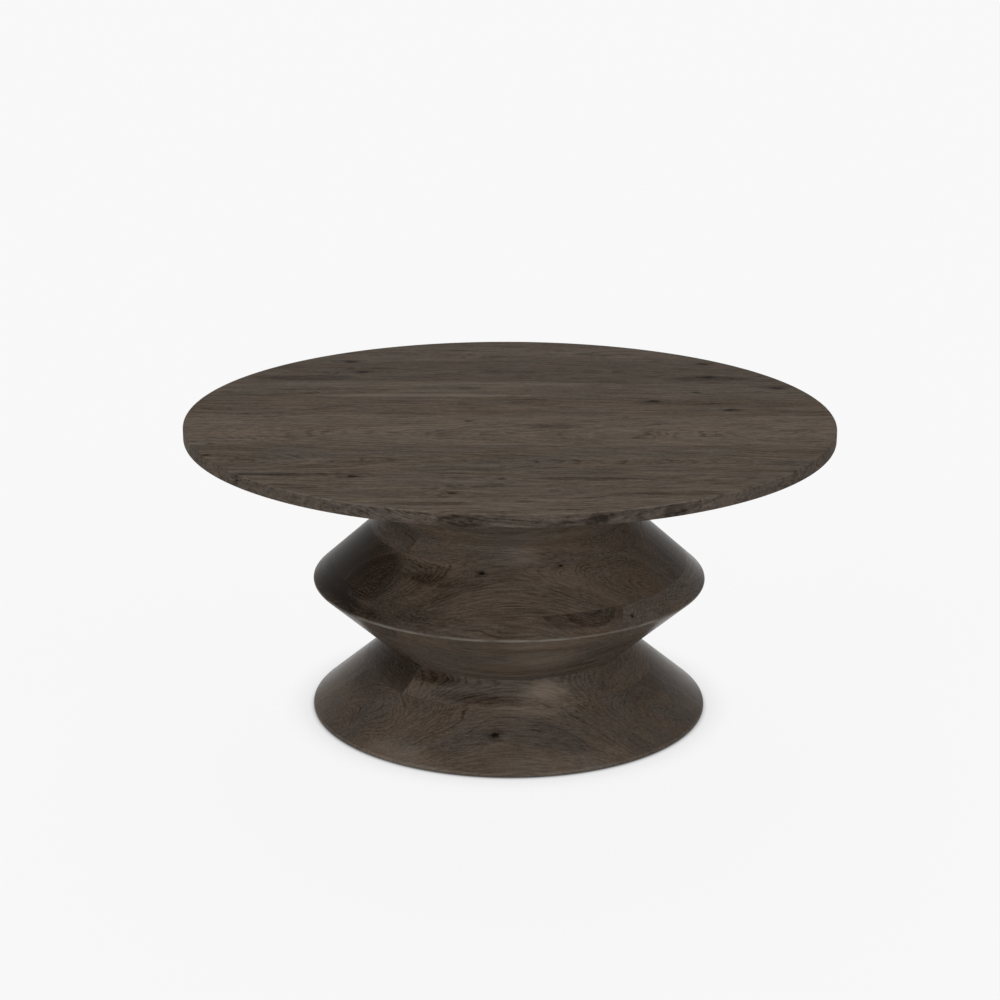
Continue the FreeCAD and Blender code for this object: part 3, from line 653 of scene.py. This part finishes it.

# What the boards of the base show, in millimetres. The name of a ring stands for its boards
# of one plank. A swirl is a place, a reach and how far it moves the growth rings, and a patch
# with a depth below 0 is pale sapwood. Patches so marked also hold painted shade, highlight or
# sheen
BASE_FIGURE = {
    "foot_ring": {
        "pith": (-130, 14), "tone": 1.03, "redness": 0.4,
        "knots": ((-19, -238, 44, 6),),
        "swirls": ((78, -268, 8, 46, 30), (-215, -160, 18, 60, 24)),
        "patches": (
            ((50, -205, 68), (52, 50, 8), -0.35, 0.5),
            # Pale wood with a painted sheen at the lower left of the foot
            ((-155, -235, 8), (80, 70, 18), -0.4, 0.5),
            ((70, -262, 12), (100, 50, 14), -0.3, 0.5),
            # Heartwood, and painted shade under the ridge at the foot's upper left
            ((-195, -80, 66), (44, 60, 26), 0.3, 0.6),
            ((185, -100, 62), (50, 60, 18), 0.2, 0.5))},
    "waist_ring_front": {
        "tone": 1.1, "pith": (-100, 20), "patches": (
            # Pale wood with a painted satin highlight
            ((48, -183, 87), (30, 60, 12), -0.85, 0.7),
            ((60, -183, 80), (60, 60, 12), -0.3, 0.6),
            ((20, -188, 69), (70, 50, 4), -0.4, 0.5),
            ((-45, -190, 78), (80, 50, 6), 0.3, 0.5),
            ((-123, -150, 76), (30, 45, 8), -0.2, 0.5),
            ((-105, -145, 93), (60, 45, 8), 0.45, 0.4),
            ((110, -165, 80), (40, 50, 8), 0.15, 0.5))},
    "waist_ring_left": {
        # A darker board, and its patch paints shade under the ridge as well as dark wood
        "tone": 0.66, "patches": (((-150, -92, 88), (70, 70, 20), 0.35, 0.6),)},
    "waist_ring_right": {"tone": 1.03, "warmth": 0.04},
    "lower_cone_ring": {
        "tone": 1.08, "pith": (-150, 128), "patches": (
            ((50, -225, 150), (55, 90, 20), -0.35, 0.5),
            ((-165, -120, 125), (60, 60, 20), 0.2, 0.5),
            ((98, -171, 122), (30, 40, 7), 0.25, 0.3),
            ((140, -190, 150), (40, 60, 12), 0.15, 0.5))},
    "ridge_ring_front": {
        "grain": "X", "tone": 1.04, "warmth": 0.025, "pith": (-215, 20),
        "ring": 4.6, "ring_depth": 0.34, "swirl_depth": 0.9,
        "swirls": ((112, -232, 230, 82, 90),),
        "patches": (
            ((98, -236, 216), (78, 70, 14), 0.28, 0.12),
            ((-110, -230, 210), (70, 70, 14), 0.15, 0.5),
            ((50, -255, 185), (70, 60, 11), -0.35, 0.5), *HEARTWOOD)},
    "ridge_ring_left": {
        "tone": 0.84, "patches": (*HEARTWOOD, ((-225, -120, 203), (90, 130, 8), 0.4, 0.4))},
    "ridge_ring_right": {"tone": 1.19, "knots": ((166, -212, 207, 2.5),)},
    "upper_cone_ring": {
        "tone": 1.06, "warmth": 0.035, "redness": 0.25, "pith": (-150, 236),
        "knots": ((-38, -202, 264, 4), (69, -185, 270, 3)),
        "patches": (
            ((-90, -193, 251), (75, 60, 7), 0.25, 0.3),
            ((-25, -205, 260), (75, 40, 7), 0.15, 0.3),
            ((40, -205, 257), (110, 60, 12), -0.15, 0.4),
            ((-112, -158, 280), (68, 70, 17), -0.35, 0.12),
            ((250, -30, 238), (70, 110, 50), 0.35, 0.5), *HEARTWOOD)},
    "neck_ring_front": {
        "tone": 1.15, "patches": (((15, -184, 282), (34, 55, 11), -0.35, 0.7),)},
    "neck_ring_left": {"tone": 0.95},
    "neck_ring_right": {"tone": 1.05, "warmth": 0.03},
}


def worn_and_highlit_edges(sizes, ring):
    """The turned edges of a ring, where sanding thinned the stain and a highlight is painted:
    each a radius, a height, a width and how strongly it is drawn."""
    low, high = ring_heights(ring)
    return {
        "ridge_ring": ((sizes.ridge_radius, sizes.ridge_height, 3.6 * MM, 0.55),),
        "foot_ring": ((sizes.end_radius, low + sizes.end_land, 3 * MM, 0.25),),
        "head_ring": ((sizes.end_radius, high - sizes.end_land, 3 * MM, 0.25),),
    }.get(ring, ())


def ring_board(sizes, ring, side):
    """The looks of one board of the base. Where long boards lie along X, all but the back one
    come from one plank, so that their figure runs on over the joints."""
    lay = RING_LAY[ring]
    one_plank = lay == "along" and side != "back"
    number = RING_NAMES.index(ring) * 4 + (0 if one_plank else list(SIDES).index(side))
    grain = {"along": "X", "across": "Y"}.get(lay, "X" if side in ("front", "back") else "Y")
    low, high = ring_heights(ring)
    middle = (low + high) / 2 / MM
    outward = {"front": -1, "back": 1, "left": 1, "right": -1}[side]
    # Far below the board's face, so that its rings cross the cone nearly level
    pith = (outward * 190.0, middle - 110.0 - 12 * (number % 4))
    if one_plank:
        pith = (outward * 130.0, middle - 20 + 13 * (number % 4))
    # Seed, ring width and tone differ from board to board. The seams are the glue lines
    # against the rings below and above, each an axis, a place, a width and a depth
    board = {
        "seed": 11.0 + number * 1.37, "grain": grain, "pith": pith,
        "ring": 2.5 + (number * 7 % 5) * 0.2, "tone": 1.0 + 0.04 * ((number * 5 % 7) / 3 - 1),
        "sway": 30.0, "reach": 240.0, "ripple": 6.0, "ragged": 1.4, "band": 16.0,
        "band_depth": 0.4, "ground": 0.26, "blotch": 0.3, "streak": 0.3,
        "line": (45.0, 2.4), "fleck": (4.0, 2.0), "flecks": 0.75, "redness": 0.35,
        "gloss": 0.014, "roughness": (0.20, 0.28), "swirl_depth": 0.5,
        "knot_squeeze": (0.6, 0.6, 1.0), "wear_and_highlight": worn_and_highlit_edges(sizes, ring),
        "seams": ((2, low, SEAM_WIDTH, 0.25), (2, high, SEAM_WIDTH, 0.25)),
    }
    if one_plank:
        board.update(BASE_FIGURE.get(ring, {}))
    board.update(BASE_FIGURE.get(f"{ring}_{side}", {}))
    return board


# Operators

class ROUNDTABLE_OT_stage(bpy.types.Operator):
    """Sets the pale floor, the soft lamps, the background and the camera"""
    bl_idname = "round_table.stage"
    bl_label = "Stage"

    def execute(self, context):
        stage = context.scene.round_table_stage
        bpy.ops.object.select_all(action="DESELECT")
        bpy.ops.mesh.primitive_plane_add(size=40, location=(0, 0, 0))
        floor = context.object
        floor.name = "floor"
        floor.data.materials.append(floor_paint(stage))
        context.scene.world = daylight(stage)
        self.lamp("front_lamp", (-0.3, -4.0, 0.5), 28, stage.front_power)
        self.lamp("key_lamp", (-3.0, -2.6, 0.9), 45, stage.key_power)
        self.lamp("fill_lamp", (3.2, -2.4, 0.8), 45, stage.fill_power)
        self.lamp("left_lamp", (-3.0, -1.0, 2.6), 50, stage.side_power)
        self.lamp("right_lamp", (3.0, -1.0, 2.6), 50, stage.side_power)
        self.lamp("back_lamp", (0.0, 3.0, 3.0), 60, stage.back_power)
        tilt = Matrix.Rotation(math.pi / 2 - stage.pitch, 3, "X")
        tilt = tilt @ Matrix.Rotation(stage.roll, 3, "Z")
        bpy.ops.object.camera_add(
            location=(stage.aside, -stage.distance, stage.height), rotation=tilt.to_euler())
        camera = context.object
        camera.name = "camera"
        camera.data.lens = stage.focal_length
        camera.data.sensor_width = 36
        context.scene.camera = camera
        context.scene.view_settings.view_transform = "Standard"
        return {"FINISHED"}

    def lamp(self, name, place, width, power):
        """A soft lamp that many degrees wide, far off in the direction of a place."""
        aim = (-Vector(place)).to_track_quat("-Z", "Y").to_euler()
        bpy.ops.object.light_add(type="SUN", location=place, rotation=aim)
        lamp = bpy.context.object
        lamp.name = name
        lamp.data.angle = math.radians(width)
        lamp.data.energy = power


def seen_rays(tree):
    """One where a ray shows the background to the eye: straight, in a mirror or in glass."""
    path = add(tree, "LightPath")
    either = add(tree, "Math", {
        0: path.outputs["Is Camera Ray"], 1: path.outputs["Is Glossy Ray"]}, operation="MAXIMUM")
    return add(tree, "Math", {0: either, 1: path.outputs["Is Transmission Ray"]},
               operation="MAXIMUM")


def floor_paint(stage):
    """A plain pale floor that keeps a soft shadow, as bright as the background elsewhere."""
    material, tree = new_material("studio floor, matt white paint")
    bounce = add(tree, "BsdfDiffuse", {"Color": (0.8, 0.8, 0.8, 1)})
    grey = stage.shadow / stage.floor_light
    lit = add(tree, "BsdfDiffuse", {"Color": (grey, grey, grey, 1)})
    # Painted contact shadow: the glow dims where the table hems the floor in
    open_floor = add(tree, "AmbientOcclusion", {"Distance": stage.contact}, samples=8)
    strength = add(tree, "Math", {
        0: open_floor.outputs["AO"], 1: stage.background - stage.shadow}, operation="MULTIPLY")
    glow = add(tree, "Emission", {"Color": (1, 1, 1, 1), "Strength": strength})
    shown = add(tree, "AddShader", {0: lit, 1: glow})
    mixed = add(tree, "MixShader", {0: seen_rays(tree), 1: bounce, 2: shown})
    add(tree, "OutputMaterial", {"Surface": mixed})
    return material


def daylight(stage):
    """Even light from all round, shown as the plain background."""
    world = bpy.data.worlds.new("studio")
    world.use_nodes = True
    tree = world.node_tree
    tree.nodes.clear()
    strength = add(tree, "Mix", {0: seen_rays(tree), 2: stage.daylight, 3: stage.background})
    sky = add(tree, "Background", {"Color": (1, 1, 1, 1), "Strength": strength})
    add(tree, "OutputWorld", {"Surface": sky})
    return world


class ROUNDTABLE_OT_top_boards(bpy.types.Operator):
    """Models the round top and saws it into its eight boards"""
    bl_idname = "round_table.top_boards"
    bl_label = "Top boards"

    def execute(self, context):
        sizes = context.scene.round_table_sizes
        colours = context.scene.round_table_colours
        low, high = (corner.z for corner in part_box("top_board_1"))
        bpy.ops.object.select_all(action="DESELECT")
        bpy.ops.mesh.primitive_cylinder_add(
            vertices=sizes.steps, radius=sizes.top_radius, depth=high - low,
            location=(0, 0, (low + high) / 2))
        disc = context.object
        disc.name = "top_blank"
        bpy.ops.object.transform_apply()
        round_edge(disc, sizes.top_radius, high, sizes.top_round, 4)
        round_edge(disc, sizes.top_radius, low, sizes.top_under_round, 3)
        joints = [None, *(joint * MM for joint in TOP_JOINTS), None]
        for number, look in enumerate(TOP_BOARDS, start=1):
            name = f"top_board_{number}"
            board = copy_of(disc, name + "_board")
            seams = []
            for joint, way in ((joints[number - 1], -1), (joints[number], 1)):
                if joint is not None:
                    cut_off(board, (0, joint, 0), (0, way, 0))
                    seams.append((1, joint, SEAM_WIDTH, 0.4))
            # The top's worn upper corner, drawn with a painted highlight
            wear_and_highlight = ((sizes.top_radius, high, ARRIS_WIDTH, look.get("arris", 0.0)),)
            wood = solid_wood(
                f"dark-stained hardwood, top board {number}", colours.top_light,
                colours.top_dark, colours, dict(look, seams=seams, face=high, wear_and_highlight=wear_and_highlight))
            finish_board(board, name, wood)
        bpy.data.objects.remove(disc)
        return {"FINISHED"}


def make_rings(context, rings):
    """Turns rings, drills them and saws each into its boards."""
    sizes = context.scene.round_table_sizes
    colours = context.scene.round_table_colours
    for ring in rings:
        solid, bore = ring_solid(sizes, ring)
        if ring == "foot_ring":
            sink_glides(solid, sizes)
        if ring == "head_ring":
            bore_for_bolts(solid, sizes)
        for side, board in saw_boards(solid, ring, bore).items():
            wood = solid_wood(
                f"dark-stained hardwood, {ring.replace('_', ' ')} {side}", colours.base_light,
                colours.base_dark, colours, ring_board(sizes, ring, side))
            finish_board(board, f"{ring}_{side}", wood)


def on_circle(radius, count=6):
    """Evenly spaced spots on a circle round the table's axis."""
    turns = [math.tau * number / count for number in range(count)]
    return [(radius * math.cos(turn), radius * math.sin(turn)) for turn in turns]


def sink_glides(solid, sizes):
    """Pockets in the underside, as deep as the glides reach into it."""
    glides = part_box("foot_glides")
    drill(solid, on_circle(sizes.glide_circle), sizes.glide_pocket, glides[0].z - MM,
          glides[1].z)


def bore_for_bolts(solid, sizes):
    """Stepped holes from below: a recess up to the washers, and a hole round each bolt."""
    low, high = ring_heights("head_ring")
    centres = on_circle(sizes.bolt_circle)
    drill(solid, centres, sizes.bolt_hole, low - MM, high + MM)
    drill(solid, centres, sizes.bolt_recess, low - MM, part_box("bolt_washers")[1].z)


class ROUNDTABLE_OT_cone_rings(bpy.types.Operator):
    """Models the rings of the base's four cones, with its waist, ridge and neck"""
    bl_idname = "round_table.cone_rings"
    bl_label = "Cone rings"

    def execute(self, context):
        make_rings(context, RING_NAMES[1:-1])
        return {"FINISHED"}


class ROUNDTABLE_OT_foot_ring(bpy.types.Operator):
    """Models the foot ring, with the pockets for its glides"""
    bl_idname = "round_table.foot_ring"
    bl_label = "Foot ring"

    def execute(self, context):
        make_rings(context, RING_NAMES[:1])
        return {"FINISHED"}


class ROUNDTABLE_OT_head_ring(bpy.types.Operator):
    """Models the head ring, with the stepped holes for the bolts that hold the top"""
    bl_idname = "round_table.head_ring"
    bl_label = "Head ring"

    def execute(self, context):
        make_rings(context, RING_NAMES[-1:])
        return {"FINISHED"}


def finish_node(node, material):
    """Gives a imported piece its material."""
    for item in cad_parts[node].material_slots:
        item.material = material


def speckled(name, colour, metallic, roughness, spread, grain, shading):
    """A plain finish whose tone and dullness vary in spots of that many millimetres."""
    material, tree = new_material(name)
    place = add(tree, "TexCoord").outputs["Object"]
    spots = add(tree, "TexNoise", {
        "Vector": place, "Scale": 1 / (grain * MM), "Detail": 3.0})
    colour = add(tree, "Mix", {
        0: spots, 6: tinted(colour, 1 - shading, 0), 7: tinted(colour, 1 + shading, 0)},
        data_type="RGBA").outputs[2]
    dull = add(tree, "MapRange", {
        "Value": spots, "To Min": roughness - spread, "To Max": roughness + spread})
    bump = add(tree, "Bump", {"Height": spots, "Strength": 0.2, "Distance": 0.02 * MM})
    shader = add(tree, "BsdfPrincipled", {
        "Base Color": colour, "Roughness": dull, "Normal": bump, "Metallic": metallic})
    add(tree, "OutputMaterial", {"Surface": shader})
    return material


def plate_wood(light, dark):
    """Birch plywood, sanded and stained dark. It gives the eye long quiet figure on its
    faces and thin stripes round its edge, where the plies change their lay."""
    material, tree = new_material("birch plywood, sanded and stained dark")
    place = add(tree, "TexCoord").outputs["Object"]
    ply = 1.6 * MM
    axes = add(tree, "SeparateXYZ", {0: place})
    layer = add(tree, "Math", {0: axes.outputs[2], 1: 1 / ply}, operation="MULTIPLY")
    stripe = add(tree, "Math", {0: layer, 1: 2.0}, operation="PINGPONG")
    stripe = add(tree, "MapRange", {
        "Value": stripe, "From Min": 0.8, "From Max": 1.2, "To Max": 0.6})
    # Figure about 167 mm long, 17 mm wide and 2.5 mm deep
    long_spot = add(tree, "VectorMath", {0: place, 1: (6, 60, 400)}, operation="MULTIPLY")
    figure = add(tree, "TexNoise", {
        "Vector": long_spot, "Scale": 1.0, "Detail": 5.0, "Distortion": 0.6})
    shade = add(tree, "Math", {0: figure, 1: 0.9, 2: stripe},
                operation="MULTIPLY_ADD", use_clamp=True)
    colour = add(tree, "Mix", {0: shade, 6: (*light, 1), 7: (*dark, 1)},
                 data_type="RGBA").outputs[2]
    dull = add(tree, "MapRange", {"Value": figure, "To Min": 0.55, "To Max": 0.75})
    bump = add(tree, "Bump", {"Height": figure, "Strength": 0.3, "Distance": 0.1 * MM})
    shader = add(tree, "BsdfPrincipled", {
        "Base Color": colour, "Roughness": dull, "Normal": bump, "Specular IOR Level": 0.15})
    add(tree, "OutputMaterial", {"Surface": shader})
    return material


class ROUNDTABLE_OT_mounting_plate(bpy.types.Operator):
    """Gives the mounting plate between the base and the top its plywood"""
    bl_idname = "round_table.mounting_plate"
    bl_label = "Mounting plate"

    def execute(self, context):
        colours = context.scene.round_table_colours
        finish_node("mounting_plate", plate_wood(colours.base_light, colours.base_dark))
        return {"FINISHED"}


class ROUNDTABLE_OT_hardware(bpy.types.Operator):
    """Gives the screws, bolts, washers and inserts their metals"""
    bl_idname = "round_table.hardware"
    bl_label = "Hardware"

    def execute(self, context):
        colours = context.scene.round_table_colours
        # Bright zinc plating over steel: a cool grey with faint cloudy spots
        zinc = speckled("zinc-plated steel, barrel plated", colours.zinc, metallic=1.0,
                        roughness=0.34, spread=0.08, grain=3.0, shading=0.08)
        for node in ("plate_screws", "base_bolts", "bolt_washers", "glide_screws"):
            finish_node(node, zinc)
        # Turned brass: warm, with a dull film from handling
        brass = speckled("brass, turned", colours.brass, metallic=1.0, roughness=0.30,
                         spread=0.08, grain=4.0, shading=0.06)
        finish_node("threaded_inserts", brass)
        return {"FINISHED"}


class ROUNDTABLE_OT_glides(bpy.types.Operator):
    """Gives the foot glides their nylon"""
    bl_idname = "round_table.glides"
    bl_label = "Foot glides"

    def execute(self, context):
        colours = context.scene.round_table_colours
        # Moulded nylon: nearly black, matt, with fine scuffs
        nylon = speckled("nylon, moulded, dark brown", colours.nylon, metallic=0.0,
                         roughness=0.55, spread=0.1, grain=1.5, shading=0.12)
        finish_node("foot_glides", nylon)
        return {"FINISHED"}


class ROUNDTABLE_PT_panel(bpy.types.Panel):
    """Lists the steps that build the table, with its sizes and colours"""
    bl_idname = "ROUNDTABLE_PT_panel"
    bl_label = "Round table"
    bl_space_type = "VIEW_3D"
    bl_region_type = "UI"
    bl_category = "Round Table"

    def draw(self, context):
        for group in (context.scene.round_table_sizes, context.scene.round_table_colours,
                      context.scene.round_table_stage):
            box = self.layout.box()
            for name in group.__annotations__:
                box.prop(group, name)
        for step in STEPS:
            self.layout.operator("round_table." + step)


STEPS = (
    "foot_ring", "cone_rings", "head_ring", "top_boards", "mounting_plate", "hardware",
    "glides", "stage",
)
CLASSES = (
    TableSizes, WoodColours, StageSettings, ROUNDTABLE_OT_foot_ring,
    ROUNDTABLE_OT_cone_rings, ROUNDTABLE_OT_head_ring, ROUNDTABLE_OT_top_boards,
    ROUNDTABLE_OT_mounting_plate, ROUNDTABLE_OT_hardware, ROUNDTABLE_OT_glides,
    ROUNDTABLE_OT_stage, ROUNDTABLE_PT_panel,
)


def register():
    for item in CLASSES:
        bpy.utils.register_class(item)
    bpy.types.Scene.round_table_sizes = PointerProperty(type=TableSizes)
    bpy.types.Scene.round_table_colours = PointerProperty(type=WoodColours)
    bpy.types.Scene.round_table_stage = PointerProperty(type=StageSettings)


def unregister():
    del bpy.types.Scene.round_table_stage
    del bpy.types.Scene.round_table_colours
    del bpy.types.Scene.round_table_sizes
    for item in reversed(CLASSES):
        bpy.utils.unregister_class(item)


def main():
    register()
    for step in STEPS:
        getattr(bpy.ops.round_table, step)()


if __name__ == "__main__":
    main()
